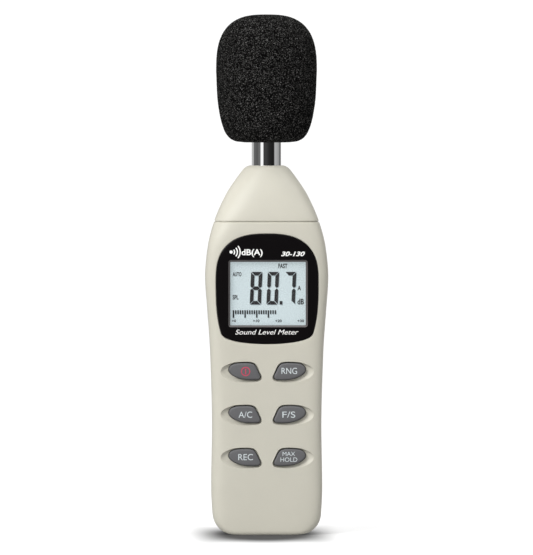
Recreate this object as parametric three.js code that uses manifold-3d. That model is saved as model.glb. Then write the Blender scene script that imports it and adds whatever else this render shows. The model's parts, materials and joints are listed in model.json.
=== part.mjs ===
// Hand-held sound level meter with a removable foam windscreen, as an assembly of separate pieces.
// Millimetres, +Z up. The origin is the middle of the flat bottom end, on the axis of the microphone tube.
// The display faces -Y, the battery door faces +Y and the microphone tube stands along +Z.
import * as THREE from 'three';
import { mergeVertices } from 'three/addons/utils/BufferGeometryUtils.js';
import Module from 'manifold-3d';

const wasm = await Module();
wasm.setup();

// ---------- driving dimensions ----------

const BODY_TOP = 144.75; // top edge of the two shells
const NOSE_BOTTOM = 145.15; // the nose cone starts above a thin groove
const NOSE_TOP = 170.9;
const WALL = 2.2;
const FRONT_DEPTH = 19;
const HANDLE_REAR_DEPTH = 18.5;
const HEAD_REAR_DEPTH = 25;
const END_CORNER_RADIUS = 9; // bottom corners seen from the front
const END_EDGE_RADIUS = 3; // bottom edges seen from the side
const NOSE_EDGE_RADIUS = 2;
const PARTING = 1.5; // the plane y where the front and rear shells meet
const FRONT_EDGE = PARTING - 0.15;
const REAR_EDGE = PARTING + 0.15;
const FIT = 0.3; // clearance between pieces that are cut to each other
const RING_POINTS = 32; // points of one casing cross-section

const LENS = { halfWidth: 23.7, top: 139.45, shoulder: 117.85, bottom: 88.45, front: -18.9, back: -17.7 };
const WINDOW = { halfWidth: 18.25, bottom: 96.25, top: 127.55 };
const WINDOW_OPENING = { halfWidth: 20, bottom: 94.7, top: 129.7 };
const POCKET_FLOOR = -17.6;

const KEY_CENTRE_X = 10.05;
const KEY_ROWS = [75.7, 55.8, 35.9];
const KEY_TOP = -19.3;
const KEY_TRAVEL = 0.75;

const PCB = { front: -11, back: -9.4, halfWidth: 22, bottom: 12, top: 134 };
const LCD = { halfWidth: 20.5, bottom: 94.2, top: 130.2, front: -16, back: -13.8 };
const LCD_FRAME = { halfWidth: 21.8, bottom: 92, top: 132, front: -15.7, back: -11.3 };

const TUBE = { radius: 6.8, bore: 4.6, seat: 160.7, top: 223 };
const TUBE_TAIL = { radius: 5.4, bottom: 150.5 };
const SOCKET_BOTTOM = 157.9;
const GRID = { radius: 6.8, bottom: 223.3, top: 230 };
const WINDSCREEN = { bottom: 181.6, height: 59.4, radius: 23.6, waist: 33, bore: 7.15, depth: 48.6 };

const BATTERY = { halfWidth: 13.25, front: -2.9, back: 14.6, bottom: 13, top: 59 };
const BAY = { halfWidth: 14.9, wall: 1.6, floor: -3.1, bottom: 11.5, top: 71 };
const DOOR = { halfWidth: 15.5, bottom: 0.6, top: 72, railBack: 12.9, railFront: 14.5, railTop: 65 };
const TERMINAL_OFFSET = 6.35;

const SCREW_POSTS = [[-19.2, 7.5], [19.2, 7.5], [-19.5, 138.5], [19.5, 138.5]];
const PCB_POSTS = [[-19, 84.3], [19, 84.3], [-17, 19], [17, 19]];
const TRIPOD = { z: 104, radius: 4.6, thread: 2.65, face: 24.6, depth: 11 };
const TRIMMER = { y: -5.9, z: 104, body: 21, end: 24.3, radius: 1.7 };

// ---------- solids ----------

const CYLINDER_SIDES = 18;

// A closed mesh as a manifold-3d solid.
function solid(geometry) {
  const bare = geometry.index ? geometry.toNonIndexed() : geometry.clone();
  bare.deleteAttribute('normal');
  bare.deleteAttribute('uv');
  const merged = mergeVertices(bare, 1e-4);
  const mesh = new wasm.Mesh({
    numProp: 3,
    vertProperties: new Float32Array(merged.attributes.position.array),
    triVerts: new Uint32Array(merged.index.array),
  });
  return new wasm.Manifold(mesh);
}

function geometryOf(manifold) {
  const { vertProperties, triVerts } = manifold.getMesh();
  const geometry = new THREE.BufferGeometry();
  geometry.setAttribute('position', new THREE.BufferAttribute(vertProperties, 3));
  geometry.setIndex(new THREE.BufferAttribute(triVerts, 1));
  geometry.computeVertexNormals();
  return geometry;
}

function box(x0, x1, y0, y1, z0, z1) {
  const geometry = new THREE.BoxGeometry(x1 - x0, y1 - y0, z1 - z0);
  return solid(geometry.translate((x0 + x1) / 2, (y0 + y1) / 2, (z0 + z1) / 2));
}

function cylinder(radius, length, sides = CYLINDER_SIDES) {
  return new THREE.CylinderGeometry(radius, radius, length, sides);
}

function rodX(y, z, radius, x0, x1, sides) {
  return solid(cylinder(radius, x1 - x0, sides).rotateZ(Math.PI / 2).translate((x0 + x1) / 2, y, z));
}

function rodY(x, z, radius, y0, y1, sides) {
  return solid(cylinder(radius, y1 - y0, sides).translate(x, (y0 + y1) / 2, z));
}

function rodZ(x, y, radius, z0, z1, sides) {
  return solid(cylinder(radius, z1 - z0, sides).rotateX(Math.PI / 2).translate(x, y, (z0 + z1) / 2));
}

// A body of revolution about the Z axis from [radius, height] points that start and end on the axis.
function turned(profile, sides = 20) {
  const points = profile.map(([radius, height]) => new THREE.Vector2(radius, height));
  return solid(new THREE.LatheGeometry(points, sides).rotateX(Math.PI / 2));
}

// Joins rings of equal point count, each ring an array of Vector3, and closes both ends with a fan.
function loft(rings) {
  const count = rings[0].length;
  const positions = [];
  const triangle = (a, b, c) => positions.push(...a.toArray(), ...b.toArray(), ...c.toArray());
  const centre = (ring) => ring.reduce((sum, p) => sum.add(p), new THREE.Vector3()).divideScalar(count);
  const first = rings[0];
  const last = rings[rings.length - 1];
  for (let i = 0; i < count; i++) {
    const j = (i + 1) % count;
    for (let k = 0; k + 1 < rings.length; k++) {
      triangle(rings[k][i], rings[k][j], rings[k + 1][j]);
      triangle(rings[k][i], rings[k + 1][j], rings[k + 1][i]);
    }
    triangle(centre(first), first[j], first[i]);
    triangle(centre(last), last[i], last[j]);
  }
  const geometry = new THREE.BufferGeometry();
  geometry.setAttribute('position', new THREE.Float32BufferAttribute(positions, 3));
  return solid(geometry);
}

// A prism between two depths from an outline of [x, z] points that runs anticlockwise seen from the front.
function prism(outline, front, back) {
  return loft([ringAt(outline, back), ringAt(outline, front)]);
}

function ringAt(outline, y) {
  return outline.map(([x, z]) => new THREE.Vector3(x, y, z));
}

// ---------- casing shape ----------

// A smooth curve through [position, value] points that never overshoots them, so a plateau stays flat.
function smoothCurve(points) {
  const slope = (i) => (points[i + 1][1] - points[i][1]) / (points[i + 1][0] - points[i][0]);
  const tangent = (i) => {
    if (i === 0) return slope(0);
    if (i === points.length - 1) return slope(i - 1);
    const [before, after] = [slope(i - 1), slope(i)];
    return before * after <= 0 ? 0 : (2 * before * after) / (before + after);
  };
  return (at) => {
    let i = 0;
    while (i < points.length - 2 && at > points[i + 1][0]) i++;
    const span = points[i + 1][0] - points[i][0];
    const t = (at - points[i][0]) / span;
    const rise = t * t * (3 - 2 * t);
    const bend = t * (1 - t);
    return points[i][1] * (1 - rise) + points[i + 1][1] * rise
      + span * bend * ((1 - t) * tangent(i) - t * tangent(i + 1));
  };
}

// The casing's half width, its depth in front of and behind the tube axis, and how square its corners are.
const widthCurve = smoothCurve([
  [0, 24.5], [22, 25.7], [50, 25.3], [85, 26.2], [104, 27.5], [119.5, 28.5], [133, 27.3], [144.5, 24.45],
  [157.5, 18.85], [165, 13.95], [NOSE_TOP, 9.5],
]);
const frontCurve = smoothCurve([
  [0, FRONT_DEPTH], [134, FRONT_DEPTH], [144.5, 18.3], [157.5, 15.4], [165, 12.4], [NOSE_TOP, 9.5],
]);
const rearCurve = smoothCurve([
  [0, HANDLE_REAR_DEPTH], [62, HANDLE_REAR_DEPTH], [78, 20.6], [96, HEAD_REAR_DEPTH], [124, HEAD_REAR_DEPTH],
  [136, 23.6], [144.5, 21.2], [157.5, 16.3], [165, 12.8], [NOSE_TOP, 9.5],
]);
const frontSquareness = smoothCurve([[0, 9], [128, 9], [144.5, 5], [157, 3], [NOSE_TOP, 2]]);
const rearSquareness = smoothCurve([[0, 4.5], [128, 4.5], [144.5, 3.6], [157, 2.6], [NOSE_TOP, 2]]);

// How far a rounded edge of this radius has drawn in at this distance from the end.
function edgeInset(distance, radius) {
  return distance >= radius ? 0 : radius - Math.sqrt(radius ** 2 - (radius - Math.max(distance, 0)) ** 2);
}

// One cross-section of the casing at height z, moved in by inset; end is the height of its flat bottom.
function section(z, { inset = 0, end = 0, roundCorners = true } = {}) {
  const nose = edgeInset(NOSE_TOP - z, NOSE_EDGE_RADIUS);
  const corner = roundCorners ? edgeInset(z - end, END_CORNER_RADIUS - end) : 0;
  const edge = edgeInset(z - end, END_EDGE_RADIUS - end);
  const halfWidth = widthCurve(z) - inset - corner - nose;
  const ring = [];
  for (let i = 0; i < RING_POINTS; i++) {
    const angle = (2 * Math.PI * i) / RING_POINTS;
    const [cos, sin] = [Math.cos(angle), Math.sin(angle)];
    const isFront = sin < 0;
    const depth = (isFront ? frontCurve(z) : rearCurve(z)) - inset - edge - nose;
    const power = 2 / (isFront ? frontSquareness(z) : rearSquareness(z));
    const [x, y] = [cos, sin].map((v) => (Math.abs(v) < 1e-9 ? 0 : Math.sign(v) * Math.abs(v) ** power));
    ring.push(new THREE.Vector3(halfWidth * x, depth * y, z));
  }
  return ring;
}

function casing(levels, options) {
  return loft(levels.map((z) => section(z, options)));
}

const END_LEVELS = [0, 1, 2.6, 5, 9];
const MAIN_LEVELS = [24, 52, 68, 80, 95, 119.5, 136];
const NOSE_LEVELS = [150, 156, 162, 167.9, 169.8, NOSE_TOP];

const outerBody = casing([...END_LEVELS, ...MAIN_LEVELS, BODY_TOP]);
const cavity = casing([WALL, 3.2, 5, 9, ...MAIN_LEVELS, BODY_TOP + 1], { inset: WALL, end: WALL });
const BIG = 60;
const frontSpace = box(-BIG, BIG, -BIG, FRONT_EDGE, -1, BODY_TOP + 2);
const rearSpace = box(-BIG, BIG, REAR_EDGE, BIG, -1, BODY_TOP + 2);

// A hollow band of the casing between two insets and two heights.
function band(outerInset, innerInset, levels) {
  const bore = [levels[0] - 1, ...levels.slice(1, -1), levels[levels.length - 1] + 1];
  return casing(levels, { inset: outerInset }).subtract(casing(bore, { inset: innerInset }));
}

// ---------- outlines on the front face ----------

function lensOutline(inset) {
  const { top, shoulder, bottom } = LENS;
  const w = LENS.halfWidth - inset;
  const low = bottom + inset;
  const point = (x, z) => new THREE.Vector2(x, z);
  const foot = new THREE.CubicBezierCurve(
    point(0, low), point(5.8, low), point(w - 3.9, low + 0.65), point(w - 2.5, low + 4.8),
  );
  const side = new THREE.CubicBezierCurve(
    point(w - 2.5, low + 4.8), point(w, low + 12.4), point(w, shoulder - 7.3), point(w, shoulder),
  );
  const lower = [...foot.getPoints(7), ...side.getPoints(4).slice(1, -1)].map((p) => [p.x, p.y]);
  const dome = [];
  const arcSteps = 9;
  const rise = top - inset - shoulder;
  const power = 2 / 2.65;
  for (let i = 0; i < arcSteps; i++) {
    const angle = (Math.PI / 2) * (i / arcSteps);
    dome.push([w * Math.cos(angle) ** power, shoulder + rise * Math.sin(angle) ** power]);
  }
  const half = [...lower, ...dome, [0, top - inset]];
  const mirrored = half.slice(1, -1).reverse().map(([x, z]) => [-x, z]);
  return [...half, ...mirrored];
}

// Closed curve through [x, z] points about a key's centre, moved out by offset; mirrored for the left column.
function keyCurve(points, count, offset, side, row) {
  const curve = new THREE.CatmullRomCurve3(points.map(([x, z]) => new THREE.Vector3(x, z, 0)), true);
  const outline = curve.getSpacedPoints(count).slice(0, count);
  const moved = outline.map((p, i) => {
    const next = outline[(i + 1) % count];
    const last = outline[(i + count - 1) % count];
    const along = new THREE.Vector3().subVectors(next, last).normalize();
    return [side * (KEY_CENTRE_X + p.x + offset * along.y), row + p.y - offset * along.x];
  });
  return side > 0 ? moved : moved.reverse();
}

const KEY_SHAPE = [
  [7.8, 1.3], [6.9, 2.75], [4.6, 3.7], [0.4, 4.0], [-2.7, 3.85], [-4.15, 3.1], [-5.75, 0.3],
  [-6.9, -2.0], [-6.7, -3.05], [-5.6, -3.6], [-1.1, -3.6], [2.8, -3.0], [6.0, -1.6], [7.6, -0.1],
];
const DISH_SHAPE = [
  [11.4, 0.3], [10.5, 2.1], [8.3, 3.4], [5.0, 4.6], [0.2, 5.0], [-3.7, 4.85], [-5.2, 3.9], [-6.8, 0.6],
  [-8.25, -2.5], [-8.0, -4.1], [-6.9, -4.95], [-4.4, -5.3], [0.2, -5.4], [4.2, -5.0], [8.0, -3.8],
  [10.6, -2.0],
];
const KEY_POINTS = 25;

// ---------- casing pieces ----------

function keyOpening(side, row) {
  const hole = (y) => ringAt(keyCurve(KEY_SHAPE, KEY_POINTS, FIT, side, row), y);
  const dish = (y) => ringAt(keyCurve(DISH_SHAPE, KEY_POINTS, 0, side, row), y);
  return loft([hole(-15), hole(-17.5), dish(-18.95), dish(-20)]);
}

function frontShell() {
  let shell = outerBody.subtract(cavity).intersect(frontSpace);
  const lipLevels = [10, ...MAIN_LEVELS.slice(0, -1), 133];
  const lipRoot = band(1.9, 3.2, lipLevels).intersect(box(-BIG, BIG, PARTING - 2.5, FRONT_EDGE, 0, 150));
  const lip = band(WALL + FIT, 3.2, lipLevels).intersect(box(-BIG, BIG, PARTING - 1, PARTING + 1.3, 0, 150));
  shell = shell.add(lipRoot).add(lip);
  for (const [x, z] of SCREW_POSTS) {
    shell = shell.add(rodY(x, z, 2.9, z > 100 ? -15.6 : -17.4, FRONT_EDGE, 14).intersect(outerBody));
    shell = shell.subtract(rodY(x, z, 1.35, -9, PARTING + 2, 10));
    shell = shell.subtract(rodY(x, z, 4, FRONT_EDGE, PARTING + 2, 12));
  }
  for (const [x, z] of PCB_POSTS) {
    shell = shell.add(rodY(x, z, 2.2, -17.4, PCB.front - 0.1, 12));
    shell = shell.subtract(rodY(x, z, 1.25, -16, PCB.front + 1, 10));
  }
  const opening = WINDOW_OPENING;
  shell = shell.subtract(prism(lensOutline(-0.25), -22, POCKET_FLOOR));
  shell = shell.subtract(box(-opening.halfWidth, opening.halfWidth, -22, -14, opening.bottom, opening.top));
  for (const row of KEY_ROWS) {
    shell = shell.subtract(keyOpening(1, row)).subtract(keyOpening(-1, row));
  }
  return shell.subtract(rodX(TRIMMER.y, TRIMMER.z, 2, 23, 30));
}

const doorLevels = [...END_LEVELS, ...MAIN_LEVELS.slice(0, 4)];

// The space outside the rear skin that the battery door may fill, from inside by inset.
function doorSpace(inset, halfWidth, bottom, top) {
  const inside = casing(doorLevels, { inset, roundCorners: false });
  return box(-halfWidth, halfWidth, 5, 40, bottom, top).subtract(inside);
}

function rearShell() {
  const { halfWidth: w, wall, floor, bottom, top } = BAY;
  let shell = outerBody.subtract(cavity).intersect(rearSpace);
  for (const [x, z] of SCREW_POSTS) {
    shell = shell.add(rodY(x, z, 3.6, REAR_EDGE, 24, 16).intersect(outerBody));
  }
  const hollow = box(-w, w, floor, 30, bottom, top);
  const grooveReach = w + 0.85;
  const mouth = box(-grooveReach, grooveReach, DOOR.railBack, 30, -1, bottom + 0.1);
  const groove = box(-grooveReach, grooveReach, DOOR.railBack, DOOR.railFront, -1, DOOR.railTop + 1);
  shell = shell.add(box(-w - wall, w + wall, floor - wall, 17.5, bottom - wall, top + wall));
  shell = shell.subtract(hollow).subtract(mouth).subtract(groove);
  shell = shell.subtract(doorSpace(WALL + FIT, DOOR.halfWidth + FIT, -1, DOOR.top + FIT));
  shell = shell.subtract(box(-6, 6, floor - 3, 5, top - 1, top + 3));
  for (const [x, z] of SCREW_POSTS) {
    shell = shell.subtract(rodY(x, z, 2.8, 4.5, 40, 16)).subtract(rodY(x, z, 1.5, -1, 6, 10));
  }
  const boss = rodY(0, TRIPOD.z, 7.6, TRIPOD.face - 13, TRIPOD.face);
  const spotFace = rodY(0, TRIPOD.z, 8.6, TRIPOD.face, 30, 24);
  const insertHole = rodY(0, TRIPOD.z, TRIPOD.radius + 0.15, TRIPOD.face - TRIPOD.depth - 0.2, 30, 24);
  return shell.add(boss).subtract(spotFace).subtract(insertHole);
}

function noseCone() {
  const outer = casing([NOSE_BOTTOM, ...NOSE_LEVELS]);
  const inner = casing([NOSE_BOTTOM - 1, 150, 156, 162, 166], { inset: WALL });
  const spigotRoot = band(2, 3.6, [NOSE_BOTTOM, 147]);
  const spigot = band(WALL + FIT, 3.6, [142.6, 146]);
  const socket = rodZ(0, 0, 9.2, SOCKET_BOTTOM, NOSE_TOP - 2, 20);
  return outer.subtract(inner).add(spigotRoot).add(spigot).add(socket)
    .subtract(rodZ(0, 0, TUBE.radius + FIT, TUBE.seat - FIT, NOSE_TOP + 1, 20))
    .subtract(rodZ(0, 0, TUBE_TAIL.radius + FIT, SOCKET_BOTTOM - 1, TUBE.seat, 20));
}

function batteryDoor() {
  let door = outerBody.intersect(doorSpace(WALL, DOOR.halfWidth, DOOR.bottom, DOOR.top));
  for (const side of [-1, 1]) {
    const span = (a, b) => (side > 0 ? [a, b] : [-b, -a]);
    door = door.add(box(...span(13.9, 14.6), DOOR.railBack + FIT, 16.9, 8, DOOR.railTop));
    door = door.add(box(...span(13.9, 15.45), DOOR.railBack + FIT, DOOR.railFront - FIT, 12, DOOR.railTop));
  }
  for (let i = 0; i < 5; i++) {
    const z = 57 + 2.4 * i;
    door = door.add(box(-7, 7, HANDLE_REAR_DEPTH - 1.5, HANDLE_REAR_DEPTH + 0.45, z, z + 1.1));
  }
  return door;
}

// ---------- display ----------

function displayBezel() {
  const plate = prism(lensOutline(0), LENS.front, LENS.back);
  const { halfWidth: w, bottom, top } = WINDOW;
  const rim = (grow, y) => ringAt([
    [-w - grow, bottom - grow], [w + grow, bottom - grow], [w + grow, top + grow], [-w - grow, top + grow],
  ], y);
  const window = loft([rim(-0.7, -17), rim(-0.7, LENS.back), rim(0.1, LENS.front - 0.1), rim(0.1, -20)]);
  return plate.subtract(window);
}

function displayWindow() {
  const { halfWidth: w, bottom, top } = WINDOW_OPENING;
  return box(-w + FIT, w - FIT, -17.5, -16.25, bottom + FIT, top - FIT);
}

function lcdPanel() {
  return box(-LCD.halfWidth, LCD.halfWidth, LCD.front, LCD.back, LCD.bottom, LCD.top);
}

function lcdFrame() {
  const { halfWidth: w, bottom, top, front, back } = LCD_FRAME;
  const hole = box(-LCD.halfWidth - FIT, LCD.halfWidth + FIT, -20, 0, LCD.bottom - FIT, LCD.top + FIT);
  return box(-w, w, front, back, bottom, top).subtract(hole);
}

function zebraStrip(z) {
  return box(-19, 19, LCD.back + 0.1, PCB.front - 0.1, z - 1.1, z + 1.1);
}

// ---------- keys ----------

function keyCap(side, row) {
  const ring = (offset, y) => ringAt(keyCurve(KEY_SHAPE, KEY_POINTS, offset, side, row), y);
  return loft([
    ring(-1.6, -12.4), ring(-1.6, -15.3), ring(0.9, -15.31), ring(0.9, -15.9), ring(0, -15.91),
    ring(0, KEY_TOP + 0.5), ring(-0.7, KEY_TOP),
  ]);
}

function carbonPill(side, row) {
  return rodY(side * KEY_CENTRE_X, row, 2, -12.3, -11.8, 12);
}

function keypadMat() {
  let mat = box(-20.6, 20.6, -12.4, -11.15, 25.5, 81.5);
  for (const row of KEY_ROWS) {
    for (const side of [-1, 1]) {
      mat = mat.subtract(prism(keyCurve(KEY_SHAPE, KEY_POINTS, -0.9, side, row), -14, -10));
    }
  }
  return mat;
}

// ---------- circuit board ----------

function mainBoard() {
  let board = box(-PCB.halfWidth, PCB.halfWidth, PCB.front, PCB.back, PCB.bottom, PCB.top);
  for (const [x, z] of PCB_POSTS) {
    board = board.subtract(rodY(x, z, 1.4, -13, -7, 10));
  }
  return board;
}

// A pan-head screw along Y: head from seat backwards, shank forwards from seat.
function screw(x, z, seat, tip, headRadius, headHeight, shankRadius) {
  const head = rodY(x, z, headRadius, seat, seat + headHeight, 12);
  const shank = rodY(x, z, shankRadius, tip, seat + 0.2, 8);
  const reach = headRadius * 0.7;
  const slotDepth = headHeight * 0.5;
  const slot = (w, h) => box(x - w, x + w, seat + slotDepth, seat + headHeight + 1, z - h, z + h);
  return head.add(shank).subtract(slot(reach, 0.25)).subtract(slot(0.25, reach));
}

function trimmerBody() {
  const { y, z, body } = TRIMMER;
  const block = box(body - 6, body, PCB.back + 0.1, y + 3.3, z - 3.3, z + 3.3);
  return block.subtract(rodX(y, z, 1.2, body - 4, body + 1, 14));
}

function trimmerRotor() {
  const { y, z, body, end, radius } = TRIMMER;
  const stem = rodX(y, z, 0.9, body - 3, body + 1, 12);
  const slot = box(end - 0.8, end + 1, y - 0.3, y + 0.3, z - 3, z + 3);
  return rodX(y, z, radius, body + 0.3, end, 16).add(stem).subtract(slot);
}

function chip(x, z, halfWidth, halfHeight, height) {
  const base = PCB.back + 0.1;
  return box(x - halfWidth, x + halfWidth, base, base + height, z - halfHeight, z + halfHeight);
}

function capacitor(x, z) {
  return rodY(x, z, 2.5, PCB.back + 0.1, PCB.back + 6.1, 16);
}

// ---------- microphone ----------

function micTube() {
  const { radius, bore, seat, top } = TUBE;
  const cup = 6.1;
  return turned([
    [bore, TUBE_TAIL.bottom], [TUBE_TAIL.radius, TUBE_TAIL.bottom], [TUBE_TAIL.radius, seat], [radius, seat],
    [radius, top], [cup, top], [cup, top - 7], [bore, top - 7], [bore, TUBE_TAIL.bottom],
  ]);
}

function tubeNut() {
  const nut = rodZ(0, 0, 8, SOCKET_BOTTOM - 3.4, SOCKET_BOTTOM - 0.2, 6);
  return nut.subtract(rodZ(0, 0, TUBE_TAIL.radius + 0.2, 150, 160));
}

function micCapsule() {
  return turned([[0, 216.2], [5.9, 216.2], [5.9, 224.4], [5.2, 225], [0, 225]]);
}

function micGrid() {
  const { radius, bottom, top } = GRID;
  let grid = turned([
    [6.15, bottom], [radius, bottom], [radius, top - 0.8], [radius - 0.8, top], [0, top], [0, top - 1.4],
    [6.15, top - 1.4], [6.15, bottom],
  ]);
  const holes = 6;
  for (let i = 0; i < holes; i++) {
    const angle = (2 * Math.PI * i) / holes;
    grid = grid.subtract(rodZ(3.6 * Math.cos(angle), 3.6 * Math.sin(angle), 1.1, top - 3, top + 1, 8));
  }
  return grid;
}

// A round wire along a smooth path through points.
function wire(points, radius, steps) {
  const shape = new THREE.Shape();
  shape.absarc(0, 0, radius, 0, 2 * Math.PI, false);
  const extrudePath = new THREE.CatmullRomCurve3(points.map((p) => new THREE.Vector3(...p)));
  const options = { steps, curveSegments: 3, extrudePath, bevelEnabled: false };
  return solid(new THREE.ExtrudeGeometry(shape, options));
}

function windscreen() {
  const { bottom, height, radius, waist, bore, depth } = WINDSCREEN;
  const lower = new THREE.SplineCurve([
    [10.5, 0], [14.2, 0.45], [17.2, 2.0], [19.6, 5.4], [21.6, 12], [22.9, 21], [radius, waist],
  ].map(([r, z]) => new THREE.Vector2(r, z)));
  const profile = [[0, bottom + depth], [bore, bottom + depth], [bore, bottom]];
  lower.getPoints(8).forEach((p) => profile.push([p.x, bottom + p.y]));
  const domePower = 2 / 2.8;
  const domeSteps = 8;
  for (let i = 1; i <= domeSteps; i++) {
    const angle = (Math.PI / 2) * (i / domeSteps);
    const r = i === domeSteps ? 0 : radius * Math.cos(angle) ** domePower;
    profile.push([r, bottom + waist + (height - waist) * Math.sin(angle) ** domePower]);
  }
  return turned(profile, 22);
}

// ---------- battery ----------

function battery() {
  const { halfWidth, front, back, bottom, top } = BATTERY;
  const middle = (front + back) / 2;
  return box(-halfWidth, halfWidth, front, back, bottom, top)
    .add(rodZ(-TERMINAL_OFFSET, middle, 2.9, top - 1, top + 2.6, 16))
    .add(rodZ(TERMINAL_OFFSET, middle, 3.9, top - 1, top + 2.6, 6));
}

function batterySnap() {
  const middle = (BATTERY.front + BATTERY.back) / 2;
  const base = BATTERY.top + 0.6;
  let snap = box(-12.5, 12.5, middle - 6, middle + 6, base, base + 4);
  for (const side of [-1, 1]) {
    snap = snap.subtract(rodZ(side * TERMINAL_OFFSET, middle, 4.3, base - 1, base + 2.4, 16));
  }
  return snap;
}

function batteryLead(side) {
  return wire([
    [2.5 * side, 5.8, 64.5], [3 * side, 4.6, 68.5], [3.3 * side, 0, 72], [3.5 * side, -4, 77],
    [4 * side, -8.4, 79.5],
  ], 0.7, 10);
}

function tripodInsert() {
  const { z, radius, thread, face, depth } = TRIPOD;
  const hole = rodY(0, z, thread, face - depth + 1, face + 1, 24);
  return rodY(0, z, radius, face - depth, face, 24).subtract(hole);
}

// ---------- assembly ----------

const meter = new THREE.Group();
meter.name = 'sound_level_meter';

const finish = (color, roughness, metalness = 0) => ({ color, roughness, metalness });
const CASING = finish(0xcfccbd, 0.5);
const KEY_RUBBER = finish(0x68696b, 0.65);
const BLACK_PLASTIC = finish(0x1c1b1b, 0.25);
const CHROME = finish(0xc8cacc, 0.12, 1);
const STEEL = finish(0x9a9c9f, 0.35, 1);
const BRASS = finish(0xb8944a, 0.35, 1);
const FOAM = finish(0x1e1e1e, 0.95);
const CHIP_BLACK = finish(0x202124, 0.5);

function place(name, made, { color, roughness, metalness }) {
  const material = new THREE.MeshStandardMaterial({ color, roughness, metalness });
  const mesh = new THREE.Mesh(geometryOf(made), material);
  mesh.name = name;
  meter.add(mesh);
}

place('front_shell', frontShell(), CASING);
place('rear_shell', rearShell(), CASING);
place('nose_cone', noseCone(), CASING);
place('battery_door', batteryDoor(), CASING);
place('battery_pad', box(-8, 8, 14.85, 16.1, 22, 50), FOAM);

place('display_bezel', displayBezel(), BLACK_PLASTIC);
place('display_window', displayWindow(), finish(0xe8eef0, 0.05));
place('lcd_panel', lcdPanel(), finish(0xc4d0d2, 0.3));
place('lcd_frame', lcdFrame(), finish(0xe6e6e2, 0.5));
place('zebra_strip_upper', zebraStrip(LCD.top - 2), finish(0xd98a8f, 0.6));
place('zebra_strip_lower', zebraStrip(LCD.bottom + 2), finish(0xd98a8f, 0.6));

const KEY_NAMES = [['power', 'range'], ['weighting', 'response'], ['record', 'max_hold']];
KEY_NAMES.forEach((pair, i) => pair.forEach((name, column) => {
  const side = column ? 1 : -1;
  place(`key_${name}`, keyCap(side, KEY_ROWS[i]), KEY_RUBBER);
  place(`pill_${name}`, carbonPill(side, KEY_ROWS[i]), finish(0x151515, 0.8));
}));
place('keypad_mat', keypadMat(), KEY_RUBBER);

place('main_board', mainBoard(), finish(0x2f6b45, 0.5));
place('processor_chip', chip(-6, 108, 6, 6, 1.6), CHIP_BLACK);
place('converter_chip', chip(8, 90, 4, 5, 1.4), CHIP_BLACK);
place('preamp_chip', chip(9, 126, 2.6, 3, 1.4), CHIP_BLACK);
place('capacitor_upper', capacitor(-13, 96), finish(0x2b3550, 0.35));
place('capacitor_lower', capacitor(-13, 89), finish(0x2b3550, 0.35));
place('mic_connector', chip(0, 127, 3.5, 2.2, 4.6), finish(0xf0ece0, 0.5));
place('trimmer_body', trimmerBody(), finish(0x2d62a8, 0.45));
place('trimmer_rotor', trimmerRotor(), BRASS);

place('mic_tube', micTube(), CHROME);
place('tube_nut', tubeNut(), STEEL);
place('mic_capsule', micCapsule(), finish(0xb9bbbd, 0.3, 1));
place('mic_grid', micGrid(), finish(0x2a2a2b, 0.4, 0.6));
place('mic_cable', wire([
  [0, 0, 215.6], [0, 0, 190], [0, 0, 150], [0, -1.5, 140], [0, -2.6, 133], [0, -3.4, 129.5],
], 1.3, 16), finish(0x2a2a2a, 0.6));
place('windscreen', windscreen(), FOAM);

place('battery', battery(), finish(0x2b2d31, 0.35));
place('battery_snap', batterySnap(), finish(0x1f1f20, 0.6));
place('lead_positive', batteryLead(1), finish(0xb32420, 0.5));
place('lead_negative', batteryLead(-1), finish(0x1a1a1a, 0.5));
place('tripod_insert', tripodInsert(), BRASS);

SCREW_POSTS.forEach(([x, z], i) => {
  place(`case_screw_${i + 1}`, screw(x, z, 4.6, -7.5, 2.3, 1.8, 1.15), STEEL);
});
PCB_POSTS.forEach(([x, z], i) => {
  place(`board_screw_${i + 1}`, screw(x, z, PCB.back + 0.1, -15.5, 2, 1.4, 1), STEEL);
});

export default meter;
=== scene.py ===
import json
import math

import bmesh
import bpy
import numpy as np
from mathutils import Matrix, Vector, noise


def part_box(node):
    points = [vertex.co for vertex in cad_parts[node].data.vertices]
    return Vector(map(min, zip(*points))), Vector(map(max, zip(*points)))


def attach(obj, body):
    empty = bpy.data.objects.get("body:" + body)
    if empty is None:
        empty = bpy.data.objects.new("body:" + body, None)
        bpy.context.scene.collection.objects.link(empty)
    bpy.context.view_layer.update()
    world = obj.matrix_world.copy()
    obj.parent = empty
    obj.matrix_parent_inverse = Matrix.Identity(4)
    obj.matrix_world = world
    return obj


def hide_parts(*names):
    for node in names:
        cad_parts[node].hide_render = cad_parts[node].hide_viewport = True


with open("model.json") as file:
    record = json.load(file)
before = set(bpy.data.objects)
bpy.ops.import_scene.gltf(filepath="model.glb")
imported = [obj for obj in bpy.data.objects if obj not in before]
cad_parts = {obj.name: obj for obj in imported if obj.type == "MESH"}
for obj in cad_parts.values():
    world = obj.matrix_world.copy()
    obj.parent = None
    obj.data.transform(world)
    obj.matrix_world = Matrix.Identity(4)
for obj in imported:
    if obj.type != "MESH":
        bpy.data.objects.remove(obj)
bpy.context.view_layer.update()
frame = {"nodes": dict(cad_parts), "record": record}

# ---------- sizes, in millimetres ----------

MM = 0.001


def extents(*nodes):
    """Lowest and highest corner of these CAD nodes together."""
    corners = np.array([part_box(n) for n in nodes]) / MM
    return corners[:, 0].min(axis=0), corners[:, 1].max(axis=0)


case_low, case_high = extents("front_shell", "rear_shell")
nose_high = extents("nose_cone")[1]
lens_low, lens_high = extents("display_bezel")
screen_low = extents("lcd_panel")[0]
tube_low, tube_high = extents("mic_tube")
grid_low, grid_high = extents("mic_grid")
foam_low, foam_high = extents("windscreen")
door_low, door_high = extents("battery_door")
insert_low, insert_high = extents("tripod_insert")

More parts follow.
